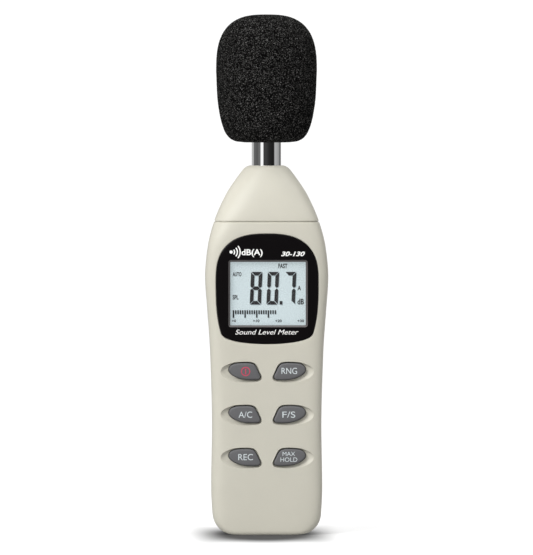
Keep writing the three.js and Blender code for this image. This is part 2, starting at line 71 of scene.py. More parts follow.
BODY_TOP = case_high[2]
SEAM_GAP = 0.4
NOSE_BOTTOM = BODY_TOP + SEAM_GAP
NOSE_TOP = nose_high[2]
WALL = 2.2
PARTING = 1.5
SPLIT = 0.15
SEAM_ROUND = 0.5
END_CORNER = 9.0
END_EDGE = 1.6
NOSE_EDGE = 2.0
FACE = -case_low[1]
BACK = case_high[1]
WIDE = case_high[0]
GRIP_BACK = 18.5
SNUG = 0.05

# Casing profiles as (height, value) points.
WIDTH = [
    (0, 24.5), (22, 25.7), (50, 25.3), (85, 26.2), (104, 27.5), (119.5, WIDE), (133, 27.3),
    (144.5, 24.45), (157.5, 18.85), (165, 13.95), (NOSE_TOP, 9.5),
]
FRONT = [(0, FACE), (134, FACE), (144.5, 18.3), (157.5, 15.4), (165, 12.4), (NOSE_TOP, 9.5)]
REAR = [
    (0, GRIP_BACK), (62, GRIP_BACK), (78, 20.6), (96, BACK), (124, BACK), (136, 23.6),
    (144.5, 21.2), (157.5, 16.3), (165, 12.8), (NOSE_TOP, 9.5),
]
FRONT_SQUARENESS = [(0, 9), (128, 9), (144.5, 5), (157, 3), (NOSE_TOP, 2)]
REAR_SQUARENESS = [(0, 4.5), (128, 4.5), (144.5, 3.6), (157, 2.6), (NOSE_TOP, 2)]

KEY_X = 10.05
KEY_ROWS = {75.7: ("power", "range"), 55.8: ("weighting", "response"), 35.9: ("record", "max_hold")}
KEY_TOP = -19.3
KEY_CROWN = 0.2
KEY_CUFF = 0.9
KEY_FILLET = 0.8
# Outlines of a key on the right and of the dish round it, from the key's middle.
KEY_SHAPE = [
    (7.7, 1.3), (6.8, 2.75), (4.6, 3.7), (0.8, 4.0), (-2.3, 3.85), (-3.9, 3.2), (-4.9, 2.0),
    (-6.1, -0.4), (-6.85, -2.1), (-6.65, -3.15), (-5.6, -3.7), (-1.1, -3.75), (2.8, -3.1),
    (6.0, -1.6), (7.5, -0.1),
]
DISH_SHAPE = [
    (11.5, -0.1), (10.7, 1.9), (8.5, 3.2), (5.2, 4.3), (0.6, 4.65), (-2.6, 4.5), (-4.4, 3.8),
    (-5.5, 2.4), (-6.75, -0.4), (-7.6, -2.3), (-7.4, -3.7), (-6.2, -4.55), (-3.5, -4.9),
    (0.2, -5.05), (4.2, -4.75), (8.0, -3.65), (10.6, -2.0),
]
DISH_DEPTH = 1.5

WINDOW_MIDDLE = 0.4
WINDOW_HALF = 18.35
WINDOW_LOW = lens_low[2] + 7.8
WINDOW_HIGH = lens_low[2] + 38.9
WINDOW_CORNER = 1.2

# The plane of the display's print, and the height its print is placed from.
SCREEN_Y = screen_low[1] - 0.12
SCREEN_FOOT = screen_low[2] - 0.25

TRIPOD = (0, 0, (insert_low[2] + insert_high[2]) / 2)
TRIMMER = (0, -5.9, 104)
SCREWS = ((-19.2, 7.5), (19.2, 7.5), (-19.5, 138.5), (19.5, 138.5))

# Spans well past the casing, for the tools that cut right through it.
ACROSS = (-60, 60)
UPRIGHT = (-5, 160)
FOAM_CELL = 0.7
FOAM_PIT = 0.26


# ---------- shapes ----------

def smooth_curve(points):
    """A curve through (position, value) points that never overshoots them."""
    xs, ys = np.array(points, float).T
    slopes = np.diff(ys) / np.diff(xs)
    tangents = np.zeros(len(xs))
    tangents[0], tangents[-1] = slopes[0], slopes[-1]
    for i in range(1, len(slopes)):
        before, after = slopes[i - 1], slopes[i]
        if before * after > 0:
            tangents[i] = 2 * before * after / (before + after)

    def value(x):
        i = int(np.clip(np.searchsorted(xs, x) - 1, 0, len(slopes) - 1))
        span = xs[i + 1] - xs[i]
        t = (x - xs[i]) / span
        rise = t * t * (3 - 2 * t)
        bend = span * t * (1 - t) * ((1 - t) * tangents[i] - t * tangents[i + 1])
        return ys[i] * (1 - rise) + ys[i + 1] * rise + bend

    return value


half_width = smooth_curve(WIDTH)
front_depth = smooth_curve(FRONT)
rear_depth = smooth_curve(REAR)
front_squareness = smooth_curve(FRONT_SQUARENESS)
rear_squareness = smooth_curve(REAR_SQUARENESS)


def edge_inset(distance, radius):
    """How far an edge rounded to this radius has drawn in at a distance from its end."""
    if distance >= radius:
        return 0.0
    return radius - math.sqrt(radius ** 2 - (radius - max(distance, 0.0)) ** 2)


QUARTER = 24


def quarter_arc(width, depth, squareness):
    """Points of a quarter of a superellipse from the X axis to the Y axis, closest where it bends."""
    angle = np.linspace(0, math.pi / 2, 700)
    x = width * np.cos(angle).clip(0) ** (2 / squareness)
    y = depth * np.sin(angle) ** (2 / squareness)
    x[-1] = 0
    step = np.hypot(np.diff(x), np.diff(y))
    heading = np.unwrap(np.arctan2(np.diff(y), np.diff(x)))
    turn = np.abs(np.diff(heading, prepend=heading[0]))
    travel = np.concatenate([[0], np.cumsum(step / step.sum() + 1.3 * turn / turn.sum())])
    even = np.linspace(0, travel[-1], QUARTER + 1)
    return np.column_stack([np.interp(even, travel, x), np.interp(even, travel, y)])


def section(z, inset=0.0, square_end=False, floor=0.0):
    """One cross-section of the casing at height z, moved in by inset."""
    nose = edge_inset(NOSE_TOP - z, NOSE_EDGE)
    seam = edge_inset(min(abs(z - BODY_TOP), abs(z - NOSE_BOTTOM)), SEAM_ROUND)
    corner = 0.0 if square_end else edge_inset(z - floor, END_CORNER - floor)
    edge = edge_inset(z - floor, END_EDGE - floor)
    width = half_width(z) - inset - corner - nose - seam
    front = front_depth(z) - inset - edge - nose - seam
    rear = rear_depth(z) - inset - edge - nose - seam
    back = quarter_arc(width, rear, rear_squareness(z))
    face = quarter_arc(width, front, front_squareness(z))
    ring = np.concatenate([
        back[:-1], back[:0:-1] * (-1, 1), face[:-1] * (-1, -1), face[:0:-1] * (1, -1),
    ])
    return np.column_stack([ring, np.full(len(ring), z)])


def levels(low, high, low_round, high_round, step=3.0):
    """Heights from low to high, closer together over the rounded ends."""
    quarter = np.linspace(0, math.pi / 2, 10)
    start = low + low_round * (1 - np.cos(quarter))
    stop = high - high_round * (1 - np.cos(quarter[::-1]))
    between = np.arange(start[-1] + step, stop[0] - step / 2, step)
    return [*start, *between, *stop]


def face_y(x, z):
    """Where the front face of the casing lies."""
    power = front_squareness(z)
    reach = min(abs(x) / half_width(z), 1.0)
    return -front_depth(z) * (1 - reach ** power) ** (1 / power)


def closed_curve(points, count):
    """Evenly spaced points on a smooth closed curve through these points."""
    p = np.array(points, float)
    before, after, later = np.roll(p, 1, axis=0), np.roll(p, -1, axis=0), np.roll(p, -2, axis=0)
    t = np.linspace(0, 1, 24, endpoint=False)[:, None, None]
    fine = 0.5 * (
        2 * p + (after - before) * t + (2 * before - 5 * p + 4 * after - later) * t ** 2
        + (3 * p - before - 3 * after + later) * t ** 3
    )
    return resampled(fine.transpose(1, 0, 2).reshape(-1, 2), count)


def resampled(outline, count):
    """The same closed outline as count evenly spaced points."""
    loop = np.vstack([outline, outline[:1]])
    travel = np.concatenate([[0], np.cumsum(np.hypot(*np.diff(loop, axis=0).T))])
    even = np.linspace(0, travel[-1], count, endpoint=False)
    return np.column_stack([np.interp(even, travel, loop[:, i]) for i in (0, 1)])


def grown(outline, offset):
    """An anticlockwise outline moved outwards by offset."""
    along = np.roll(outline, -1, axis=0) - np.roll(outline, 1, axis=0)
    along /= np.linalg.norm(along, axis=1)[:, None]
    return outline + offset * np.column_stack([along[:, 1], -along[:, 0]])


def bezier(points, steps=60):
    """A cubic curve from the first point to the last, pulled towards the two between."""
    a, b, c, d = np.array(points, float)
    t = np.linspace(0, 1, steps)[:, None]
    return a * (1 - t) ** 3 + 3 * b * t * (1 - t) ** 2 + 3 * c * t ** 2 * (1 - t) + d * t ** 3


def lens_outline(count=260):
    """Outline of the black lens: a domed top, sides drawn in to the bottom and a shallow arc there."""
    wide, top, low, shoulder = lens_high[0], lens_high[2], lens_low[2], lens_high[2] - 21.6
    corner = (wide - 2.5, low + 4.8)
    foot = bezier([(0, low), (5.8, low), (wide - 3.9, low + 0.65), corner])
    side = bezier([corner, (wide, low + 12.4), (wide, shoulder - 7.3), (wide, shoulder)])
    angle = np.linspace(0, math.pi / 2, 60)
    power = 2 / 2.65
    dome = np.column_stack([
        wide * np.cos(angle).clip(0) ** power, shoulder + (top - shoulder) * np.sin(angle) ** power,
    ])
    right = np.vstack([foot, side[1:-1], dome])
    return resampled(np.vstack([right, (right * (-1, 1))[-2:0:-1]]), count)


def rounded_rectangle(half, low, high, corner, steps=8):
    """Outline of a rectangle centred on x = 0 with rounded corners."""
    turn = np.linspace(0, math.pi / 2, steps)
    corners = [(half, low, -1), (half, high, 0), (-half, high, 1), (-half, low, 2)]
    points = []
    for x, z, quarter in corners:
        middle_x = x - math.copysign(corner, x)
        middle_z = z + (corner if z == low else -corner)
        points += around(middle_x, middle_z, corner, turn + quarter * math.pi / 2)
    return np.array(points)


def key_outline(shape, side, row, count=120):
    """A key or dish outline on the right or, mirrored, on the left."""
    outline = closed_curve(shape, count)
    if side < 0:
        outline = (outline * (-1, 1))[::-1]
        outline = np.roll(outline, 1, axis=0)
    return outline + (side * KEY_X, row)


def at_depth(outline, y):
    """A ring of 3-D points from an outline on the front, all at one depth."""
    return np.column_stack([outline[:, 0], np.full(len(outline), y), outline[:, 1]])


def on_surface(outline, surface, below=0.0):
    """A ring of 3-D points from an outline on the front, laid on a surface or a little below it."""
    depths = [surface(x, z) + below for x, z in outline]
    return np.column_stack([outline[:, 0], depths, outline[:, 1]])


def around(x, z, radius, angles):
    """Points on a circle about (x, z) at these angles."""
    return [(x + radius * math.cos(a), z + radius * math.sin(a)) for a in angles]


def arc_band(x, z, inner, outer, angles):
    """Four-sided pieces of a ring about (x, z) between two radii."""
    near, far = around(x, z, inner, angles), around(x, z, outer, angles)
    return [[near[i], far[i], far[i + 1], near[i + 1]] for i in range(len(angles) - 1)]


# ---------- meshes ----------

def mesh_object(name, points, faces):
    """A mesh in the scene from points in millimetres."""
    mesh = bpy.data.meshes.new(name)
    mesh.from_pydata((np.asarray(points) * MM).tolist(), [], faces)
    obj = bpy.data.objects.new(name, mesh)
    bpy.context.scene.collection.objects.link(obj)
    return obj


def face_outwards(obj):
    """Turns every face of a closed mesh to look outwards."""
    work = bmesh.new()
    work.from_mesh(obj.data)
    bmesh.ops.recalc_face_normals(work, faces=work.faces)
    work.to_mesh(obj.data)
    work.free()
    return obj


def loft(name, rings, loop=False):
    """A closed skin through rings of equal point count. loop joins the last ring to the first."""
    rings = np.asarray(rings)
    total, count = rings.shape[:2]
    index = np.arange(total * count).reshape(total, count)
    upper = np.roll(index, -1, axis=0) if loop else index[1:]
    lower = index if loop else index[:-1]
    quads = np.stack([lower, np.roll(lower, -1, 1), np.roll(upper, -1, 1), upper], axis=-1)
    faces = quads.reshape(-1, 4).tolist()
    if not loop:
        faces += [index[0, ::-1].tolist(), index[-1].tolist()]
    return face_outwards(mesh_object(name, rings.reshape(-1, 3), faces))


AXES = {"x": (2, 0, 1), "y": (0, 2, 1), "z": (0, 1, 2)}


def turned(name, profile, axis="z", centre=(0, 0, 0), count=96, loop=False):
    """A body of revolution from (radius, height) points along an axis."""
    angle = np.linspace(0, 2 * math.pi, count, endpoint=False)
    rings = []
    for radius, height in profile:
        circle = radius * np.cos(angle), radius * np.sin(angle), np.full(count, height)
        rings.append(np.column_stack(circle)[:, AXES[axis]])
    return loft(name, np.array(rings) + centre, loop)


def rod(radius, start, stop, axis, centre, count=48):
    """A round bar along an axis, used as a tool."""
    return turned("tool", [(radius, start), (radius, stop)], axis, centre, count)


def block(x, y, z):
    """A box between (low, high) pairs, used as a cutting tool."""
    corners = [(x[0], y[0]), (x[1], y[0]), (x[1], y[1]), (x[0], y[1])]
    return loft("tool", [[(*c, height) for c in corners] for height in z])


def carve(target, tool, operation="DIFFERENCE"):
    """Cuts, joins or intersects target with tool, and removes the tool."""
    modifier = target.modifiers.new("carve", "BOOLEAN")
    modifier.operation = operation
    modifier.solver = "MANIFOLD"
    modifier.object = tool
    graph = bpy.context.evaluated_depsgraph_get()
    made = bpy.data.meshes.new_from_object(target.evaluated_get(graph))
    target.modifiers.clear()
    target.data = made
    bpy.data.objects.remove(tool)
    return target


slot_of = {part["node"]: part["material_slot"] for part in frame["record"]["subparts"]}


def piece(obj, body, material, nodes=(), sharp=35):
    """Gives a finished mesh its material and shading, and fixes it to a CAD body."""
    obj.data.materials.clear()
    obj.data.materials.append(material)
    obj.data.polygons.foreach_set("material_index", [0] * len(obj.data.polygons))
    obj.data.polygons.foreach_set("use_smooth", [True] * len(obj.data.polygons))
    obj.data.set_sharp_from_angle(angle=math.radians(sharp))
    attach(obj, body)
    if nodes:
        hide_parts(*nodes)
    return obj


# ---------- materials ----------

def linear(red, green, blue):
    """A colour given as 0 to 255 screen values, as linear light."""
    channels = [v / 255 for v in (red, green, blue)]
    return (*[v / 12.92 if v <= 0.04045 else ((v + 0.055) / 1.055) ** 2.4 for v in channels], 1)


class Nodes:
    """A node tree of a material or of the world, with short ways to add nodes."""

    def __init__(self, holder, coordinates="Object"):
        holder.use_nodes = True
        self.holder = holder
        self.tree = holder.node_tree
        self.coords = self.add("TexCoord").outputs[coordinates]

    def add(self, kind):
        return self.tree.nodes.new(f"ShaderNode{kind}")

    def link(self, source, target):
        self.tree.links.new(source, target)

    def noise(self, size, detail=3.0, roughness=0.55):
        """Soft noise whose features are about size millimetres across."""
        node = self.add("TexNoise")
        node.inputs["Scale"].default_value = 1 / (size * MM)
        node.inputs["Detail"].default_value = detail
        node.inputs["Roughness"].default_value = roughness
        self.link(self.coords, node.inputs["Vector"])
        return node.outputs["Fac"]

    def voronoi(self, size, feature="F1"):
        node = self.add("TexVoronoi")
        node.feature = feature
        node.inputs["Scale"].default_value = 1 / (size * MM)
        self.link(self.coords, node.inputs["Vector"])
        return node

    def cells(self, size, feature):
        """Cells about size millimetres across, as distance from each cell's middle or border."""
        return self.voronoi(size, feature).outputs["Distance"]

    def chance(self, size):
        """A random number from 0 to 1 for each cell about size millimetres across."""
        return self.axis("X", self.voronoi(size).outputs["Color"])

    def spread(self, value, low, high, to_low=0.0, to_high=1.0):
        """Maps value from low..high to another range."""
        node = self.add("MapRange")
        ends = {"From Min": low, "From Max": high, "To Min": to_low, "To Max": to_high}
        for name, number in ends.items():
            node.inputs[name].default_value = number
        self.link(value, node.inputs["Value"])
        return node.outputs["Result"]

    def blend(self, factor, first, second):
        """Mixes two colours, each a colour or a socket."""
        node = self.add("Mix")
        node.data_type = "RGBA"
        self.link(factor, node.inputs["Factor"])
        sockets = [s for s in node.inputs if s.type == "RGBA"]
        for socket, colour in zip(sockets, (first, second)):
            if isinstance(colour, tuple):
                socket.default_value = colour
            else:
                self.link(colour, socket)
        return [s for s in node.outputs if s.type == "RGBA"][0]

    def number(self, value):
        """A plain number as a socket."""
        node = self.add("Value")
        node.outputs[0].default_value = value
        return node.outputs[0]

    def math(self, operation, *values):
        """A sum, product or other operation on sockets and numbers."""
        node = self.add("Math")
        node.operation = operation
        for socket, value in zip(node.inputs, values):
            if isinstance(value, (int, float)):
                socket.default_value = value
            else:
                self.link(value, socket)
        return node.outputs[0]

    def axis(self, name, source=None):
        """One coordinate, in metres, of the place on the surface or of another vector."""
        node = self.add("SeparateXYZ")
        self.link(source or self.coords, node.inputs[0])
        return node.outputs[name]

    def bump(self, height, depth, strength=1.0):
        """Raises the surface by up to depth millimetres where height is 1."""
        node = self.add("Bump")
        node.inputs["Distance"].default_value = depth * MM
        node.inputs["Strength"].default_value = strength
        self.link(height, node.inputs["Height"])
        self.link(node.outputs["Normal"], self.shader.inputs["Normal"])

    @property
    def shader(self):
        """A material's own surface shader."""
        return self.tree.nodes["Principled BSDF"]


def new_material(name):
    return Nodes(bpy.data.materials.new(name))


BLACK = (0, 0, 0, 1)


def shade(colour, amount):
    """The colour made lighter or darker by a factor."""
    return (*[min(c * amount, 1.0) for c in colour[:3]], 1)


def textured(name, colour, roughness, grain=0.5, mottle=0.05, depth=0.02, metallic=0.0, specular=0.5):
    """A surface whose colour, roughness and height vary a little with noise grain millimetres wide."""
    made = new_material(name)
    fine, broad = made.noise(grain), made.noise(grain * 18, 2)
    tint = made.blend(fine, shade(colour, 1 - mottle), shade(colour, 1 + mottle))
    worn = made.blend(made.spread(broad, 0.3, 0.7), tint, shade(colour, 1 + mottle / 2))
    made.link(worn, made.shader.inputs["Base Color"])
    gloss = made.spread(fine, 0.25, 0.75, roughness * 0.88, roughness * 1.12)
    made.link(gloss, made.shader.inputs["Roughness"])
    made.shader.inputs["Metallic"].default_value = metallic
    made.shader.inputs["Specular IOR Level"].default_value = specular
    made.bump(fine, depth)
    return made.holder


def foam_material():
    """Black open-cell foam with painted light: every cell is painted lighter by a different amount, a
    painted highlight as if it catches the light, and a few painted glints.
    """
    made = new_material("foam")
    # Painted highlights: each cell is painted lighter by a random amount, as if it catches the light;
    # the struts stay near black.
    painted_catch_light = made.math("POWER", made.chance(0.34), 5.0)
    cell_tone_with_painted_light = made.blend(painted_catch_light, linear(3, 3, 3), linear(122, 121, 119))
    strut = made.spread(made.cells(0.34, "DISTANCE_TO_EDGE"), 0.0, 0.15, 1.0, 0.0)
    body = made.blend(strut, cell_tone_with_painted_light, linear(12, 12, 12))
    # Painted glints: small bright spots where the noise falls in a narrow band.
    painted_glint = made.spread(made.noise(0.5, 1), 0.73, 0.77)
    made.link(made.blend(painted_glint, body, linear(190, 190, 190)), made.shader.inputs["Base Color"])
    made.link(made.spread(made.noise(0.5), 0.3, 0.7, 0.7, 0.95), made.shader.inputs["Roughness"])
    made.shader.inputs["Specular IOR Level"].default_value = 0.03
    made.bump(strut, 0.35)
    return made.holder


def clear_material():
    """The clear window over the display: nearly invisible, with a faint surface."""
    made = new_material("window")
    made.link(made.spread(made.noise(9), 0.3, 0.7, 0.01, 0.02), made.shader.inputs["Alpha"])
    made.link(made.spread(made.noise(2), 0.3, 0.7, 0.04, 0.1), made.shader.inputs["Roughness"])
    made.shader.inputs["Base Color"].default_value = linear(225, 232, 236)
    made.shader.inputs["Specular IOR Level"].default_value = 0.2
    return made.holder


def screen_material():
    """The grey-blue field of the display, with a painted glow: an even emission that stands in for the
    light its mirror film gives back.
    """
    made = new_material("screen")
    grain = made.spread(made.noise(0.5, 2), 0.3, 0.7)
    lit = made.blend(grain, linear(118, 127, 129), linear(142, 151, 153))
    # Painted glow: emission colour standing in for light the display reflects; the display is no lamp.
    painted_glow = made.blend(grain, linear(154, 166, 169), linear(175, 187, 190))
    made.link(lit, made.shader.inputs["Base Color"])
    made.link(painted_glow, made.shader.inputs["Emission Color"])
    made.shader.inputs["Emission Strength"].default_value = 1.0
    made.link(made.spread(made.noise(0.3), 0.3, 0.7, 0.45, 0.6), made.shader.inputs["Roughness"])
    made.bump(made.noise(0.2), 0.005)
    return made.holder


def board_material():
    """Green circuit board with paler copper tracks under the lacquer."""
    made = new_material("board")
    tracks = made.spread(made.cells(3.2, "DISTANCE_TO_EDGE"), 0.03, 0.07, 1.0, 0.0)
    green = made.blend(made.noise(1.5), linear(30, 84, 50), linear(38, 100, 60))
    made.link(made.blend(tracks, green, linear(70, 130, 84)), made.shader.inputs["Base Color"])
    made.shader.inputs["Roughness"].default_value = 0.4
    made.bump(tracks, 0.03)
    return made.holder


def battery_material():
    """Metal jacket of the block battery: black below, a coppery band above."""
    made = new_material("battery")
    band = made.spread(made.axis("Z"), 0.0468, 0.0470)
    scuffed = made.blend(made.noise(2.5), linear(34, 35, 38), linear(46, 47, 50))
    made.link(made.blend(band, scuffed, linear(196, 128, 74)), made.shader.inputs["Base Color"])
    made.link(made.spread(made.noise(1.2), 0.3, 0.7, 0.22, 0.38), made.shader.inputs["Roughness"])
    made.shader.inputs["Metallic"].default_value = 0.5
    made.bump(made.noise(0.6), 0.01)
    return made.holder


CASING = textured("casing", linear(197, 194, 181), 0.5, 0.45, 0.035, 0.02)
LENS = textured("lens", linear(16, 14, 15), 0.14, 1.2, 0.1, 0.002, specular=0.1)
# The window's sloped edge, painted paler grey than the black lens: a painted sheen for the light it
# reflects.
PAINTED_SHEEN_EDGE = textured("lens_edge_painted_sheen", linear(84, 80, 80), 0.3, 0.8, 0.08, 0.003)
RUBBER = textured("key", linear(94, 94, 96), 0.62, 0.5, 0.1, 0.03)
LEGEND = textured("legend", linear(206, 214, 216), 0.6, 0.4, 0.06, 0.01)
RED_LEGEND = textured("red_legend", linear(196, 62, 92), 0.6, 0.4, 0.06, 0.01)
WHITE_PRINT = textured("white_print", linear(246, 246, 244), 0.5, 0.5, 0.02, 0.004)
SEGMENT = textured("segment", linear(17, 14, 19), 0.5, 0.5, 0.1, 0.004)
SHADE = textured("segment_shade", linear(172, 186, 191), 0.5, 0.5, 0.04, 0.004)
CHROME = textured("chrome", linear(214, 215, 217), 0.03, 2.0, 0.03, 0.0001, metallic=1.0)
STEEL = textured("steel", linear(198, 199, 201), 0.42, 0.3, 0.08, 0.01, metallic=1.0)
BRASS = textured("brass", linear(196, 160, 88), 0.3, 0.4, 0.08, 0.01, metallic=1.0)
FOAM = foam_material()

SLOTS = {
    "casing": CASING,
    "foam": FOAM,
    "lens": LENS,
    "window": clear_material(),
    "lcd": screen_material(),
    "lcd_frame": textured("lcd_frame", linear(226, 226, 222), 0.5, 0.6),
    "zebra": textured("zebra", linear(217, 138, 143), 0.6, 0.25, 0.2),
    "key": RUBBER,
    "carbon": textured("carbon", linear(24, 24, 24), 0.7, 0.2, 0.2),
    "board": board_material(),
    "chip": textured("chip", linear(34, 35, 38), 0.45, 0.3, 0.12),
    "capacitor": textured("capacitor", linear(43, 53, 80), 0.3, 1.0),
    "connector": textured("connector", linear(236, 230, 214), 0.5, 0.6),
    "trimmer": textured("trimmer", linear(45, 98, 168), 0.4, 0.6),
    "brass": BRASS,
    "chrome": CHROME,
    "steel": STEEL,
    "capsule": textured("capsule", linear(186, 188, 190), 0.3, 0.3, 0.06, metallic=1.0),
    "grid": textured("grid", linear(44, 44, 46), 0.4, 0.4, 0.1, metallic=0.6),
    "cable": textured("cable", linear(38, 38, 40), 0.6, 0.6, 0.15),
    "battery": battery_material(),
    "snap": textured("snap", linear(30, 30, 31), 0.6, 0.5, 0.15),
    "lead_red": textured("lead_red", linear(176, 34, 30), 0.4, 0.6),
    "lead_black": textured("lead_black", linear(26, 26, 27), 0.4, 0.6),
}


def dress_cad_nodes():
    """Gives every CAD node its slot's material; the ones rebuilt below are hidden later."""
    for name, slot in slot_of.items():
        materials = frame["nodes"][name].data.materials
        materials.clear()
        materials.append(SLOTS[slot])


# ---------- casing ----------

def body_block():
    """The solid casing up to the seam, with a shallow step on top that closes the seam from inside."""
    rings = [section(z) for z in levels(0, BODY_TOP, END_CORNER, SEAM_ROUND)]
    step = section(BODY_TOP, SNUG)
    rings += [step, step + (0, 0, SEAM_GAP - SNUG)]
    return loft("casing_block", rings)


def cavity():
    """Tool for the hollow inside the casing."""
    rings = []
    for z in levels(WALL, BODY_TOP + 2, END_CORNER - WALL, 0.1):
        ring = section(min(z, BODY_TOP - 1), WALL, floor=WALL)
        rings.append(ring * (1, 1, 0) + (0, 0, z))
    return loft("tool", rings)


def lens_pocket(outline):
    """Tool for the recess that holds the lens, with a rounded lip at the surface."""
    rings = [at_depth(grown(outline, 0.12), lens_high[1] + 0.1)]
    for offset, rise in ((0.12, 0.4), (0.15, 0.15), (0.25, 0.04), (0.45, 0.0), (0.6, -0.4), (0.6, -2)):
        rings.append(on_surface(grown(outline, offset), face_y, rise))
    return loft("tool", rings)


def key_recess(side, row):
    """Tool for one key's hole and the scooped dish round it."""
    hole = grown(key_outline(KEY_SHAPE, side, row), 0.25)
    dish = key_outline(DISH_SHAPE, side, row)
    rings = [at_depth(hole, -14.0)]
    for t in np.linspace(0, 1, 9):
        depth = DISH_DEPTH * (1 - t ** 2.2)
        rings.append(on_surface(hole * (1 - t) + dish * t, face_y, depth))
    rings.append(at_depth(dish, -22.0))
    return loft("tool", rings)


def front_shell():
    shell = carve(body_block(), cavity())
    carve(shell, block(ACROSS, (PARTING - SPLIT, 60), UPRIGHT))
    carve(shell, lens_pocket(lens_outline()))
    carve(shell, block((-20, 20), (-22, -14), (WINDOW_LOW - 1.8, WINDOW_HIGH + 1.9)))
    for row in KEY_ROWS:
        for side in (-1, 1):
            carve(shell, key_recess(side, row))
    carve(shell, rod(2.0, 23, 30, "x", TRIMMER))
    shell.name = "front_case"
    piece(shell, "casing", CASING, ["front_shell"])


def parting_strip():
    """A strip on the rear shell that closes the parting line from inside, just below the surface."""
    heights = levels(0.5, BODY_TOP, END_CORNER, SEAM_ROUND)
    strip = loft("strip", [section(z, 0.5, floor=0.5) for z in heights])
    carve(strip, cavity())
    band = PARTING - SPLIT + 0.03, PARTING + SPLIT + 0.2
    return carve(strip, block(ACROSS, band, UPRIGHT), "INTERSECT")


def door_space(inset, half, low, high):
    """Tool for the part of the rear skin that the battery door fills."""
    heights = levels(0, 80, END_CORNER, 0.1)
    core = loft("core", [section(z, inset, square_end=True) for z in heights])
    return carve(block((-half, half), (5, 40), (low, high)), core)


def battery_box(shell):
    """Hollows out the battery's compartment and the opening and side grooves for its sliding door."""
    carve(shell, block((-14.9, 14.9), (-5, 30), (11.5, 71)))
    carve(shell, block((-15.75, 15.75), (12.9, 30), (-1, 11.6)))
    carve(shell, block((-15.75, 15.75), (12.9, 14.5), (-1, 66)))
    carve(shell, door_space(WALL + 0.3, door_high[0] + 0.3, -1, door_high[2] + 0.3))
    carve(shell, block((-6, 6), (-8, 5), (70, 74)))


def tripod_boss(shell):
    """The round boss in the back that holds the tripod insert, with a shallow dish round its end."""
    seat, hole = insert_high[1], insert_high[0] + 0.15
    carve(shell, rod(7.6, seat - 13, seat, "y", TRIPOD, 64), "UNION")
    well = [(hole, seat - 11.2), (hole, seat), (8.2, seat), (9.0, seat + 0.8), (9.0, 40)]
    carve(shell, turned("tool", well, "y", TRIPOD, 64))


def rear_shell():
    shell = carve(body_block(), cavity())
    carve(shell, block(ACROSS, (-60, PARTING + SPLIT), UPRIGHT))
    carve(shell, parting_strip(), "UNION")
    carve(shell, block((-16.5, 16.5), (PARTING + SPLIT, 17.5), (9.9, 72.6)), "UNION")
    for x, z in SCREWS:
        post = carve(rod(3.6, PARTING + SPLIT, 24, "y", (x, 0, z)), body_block(), "INTERSECT")
        carve(shell, post, "UNION")
    battery_box(shell)
    for x, z in SCREWS:
        well = [(1.5, -2), (1.5, 4.5), (2.8, 4.5), (2.8, 40)]
        carve(shell, turned("tool", well, "y", (x, 0, z), 48))
    tripod_boss(shell)
    shell.name = "rear_case"
    piece(shell, "casing", CASING, ["rear_shell"])


def nose():
    heights = levels(NOSE_BOTTOM, NOSE_TOP, SEAM_ROUND, NOSE_EDGE, 1.5)
    cone = loft("nose", [section(z) for z in heights])
    hollow = []
    for z in np.arange(NOSE_BOTTOM - 1, 158, 1.5):
        ring = section(min(max(z, NOSE_BOTTOM + 1), 160), WALL)
        hollow.append(ring * (1, 1, 0) + (0, 0, z))
    carve(cone, loft("tool", hollow))
    radius = tube_high[0] + 0.25
    mouth = radius + 0.5
    bore = [(radius, 150), (radius, NOSE_TOP - 0.5), (mouth, NOSE_TOP + 0.01), (mouth, 175)]
    carve(cone, turned("tool", bore))
    piece(cone, "casing", CASING, ["nose_cone"])


def battery_door():
    """The sliding door: a piece of the casing's skin with a runner on each side and five thumb ribs."""
    half = door_high[0]
    door = carve(body_block(), door_space(WALL, half, door_low[2], door_high[2]), "INTERSECT")
    for side in (-1, 1):
        for width, low, high, start in ((14.6, 13.2, 16.9, 8), (15.45, 13.2, 14.2, 12)):
            span = sorted((side * 13.9, side * width))
            carve(door, block(span, (low, high), (start, 65)), "UNION")
    rib = [(-0.2, 17.0), (0, 18.8), (0.35, 18.98), (0.75, 18.98), (1.1, 18.8), (1.3, 17.0)]
    for z in np.arange(46, 57, 2.4):
        carve(door, loft("tool", [[(x, y, z + up) for up, y in rib] for x in (-7, 7)]), "UNION")
    door.name = "battery_cover"
    piece(door, "battery_door", CASING, ["battery_door"])


# ---------- display ----------

def lens():
    """The black lens with its softened rim and the window opening, whose sloped edge is painted a paler
    grey: a painted sheen that stands in for the light the black edge reflects.
    """
    outline, rim = lens_outline(), 0.5
    front, back = lens_low[1], lens_high[1]
    rings = [at_depth(grown(outline, -SNUG), back)]
    for t in np.linspace(0, math.pi / 2, 7):
        edge = grown(outline, -SNUG - rim * (1 - math.cos(t)))
        rings.append(at_depth(edge, front + rim * (1 - math.sin(t))))
    plate = loft("lens", rings)
    opening = rounded_rectangle(WINDOW_HALF, WINDOW_LOW, WINDOW_HIGH, WINDOW_CORNER)
    opening += (WINDOW_MIDDLE, 0)
    steps = [
        (-0.9, back + 1), (-0.9, front + 0.85), (-0.06, front + 0.06), (0.0, front), (0.1, front - 1),
    ]
    carve(plate, loft("tool", [at_depth(grown(opening, offset), y) for offset, y in steps]))
    piece(plate, "casing", LENS, ["display_bezel"])
    # Second material: the painted sheen on the window's sloped edge.
    plate.data.materials.append(PAINTED_SHEEN_EDGE)
    for face in plate.data.polygons:
        x, _, z = face.center / MM
        beside = abs(x - WINDOW_MIDDLE) < WINDOW_HALF + 0.6
        if beside and WINDOW_LOW - 0.6 < z < WINDOW_HIGH + 0.6 and abs(face.normal.y) < 0.99:
            face.material_index = 1


def flat(y):
    """The depth function of a flat surface."""
    return lambda x, z: y


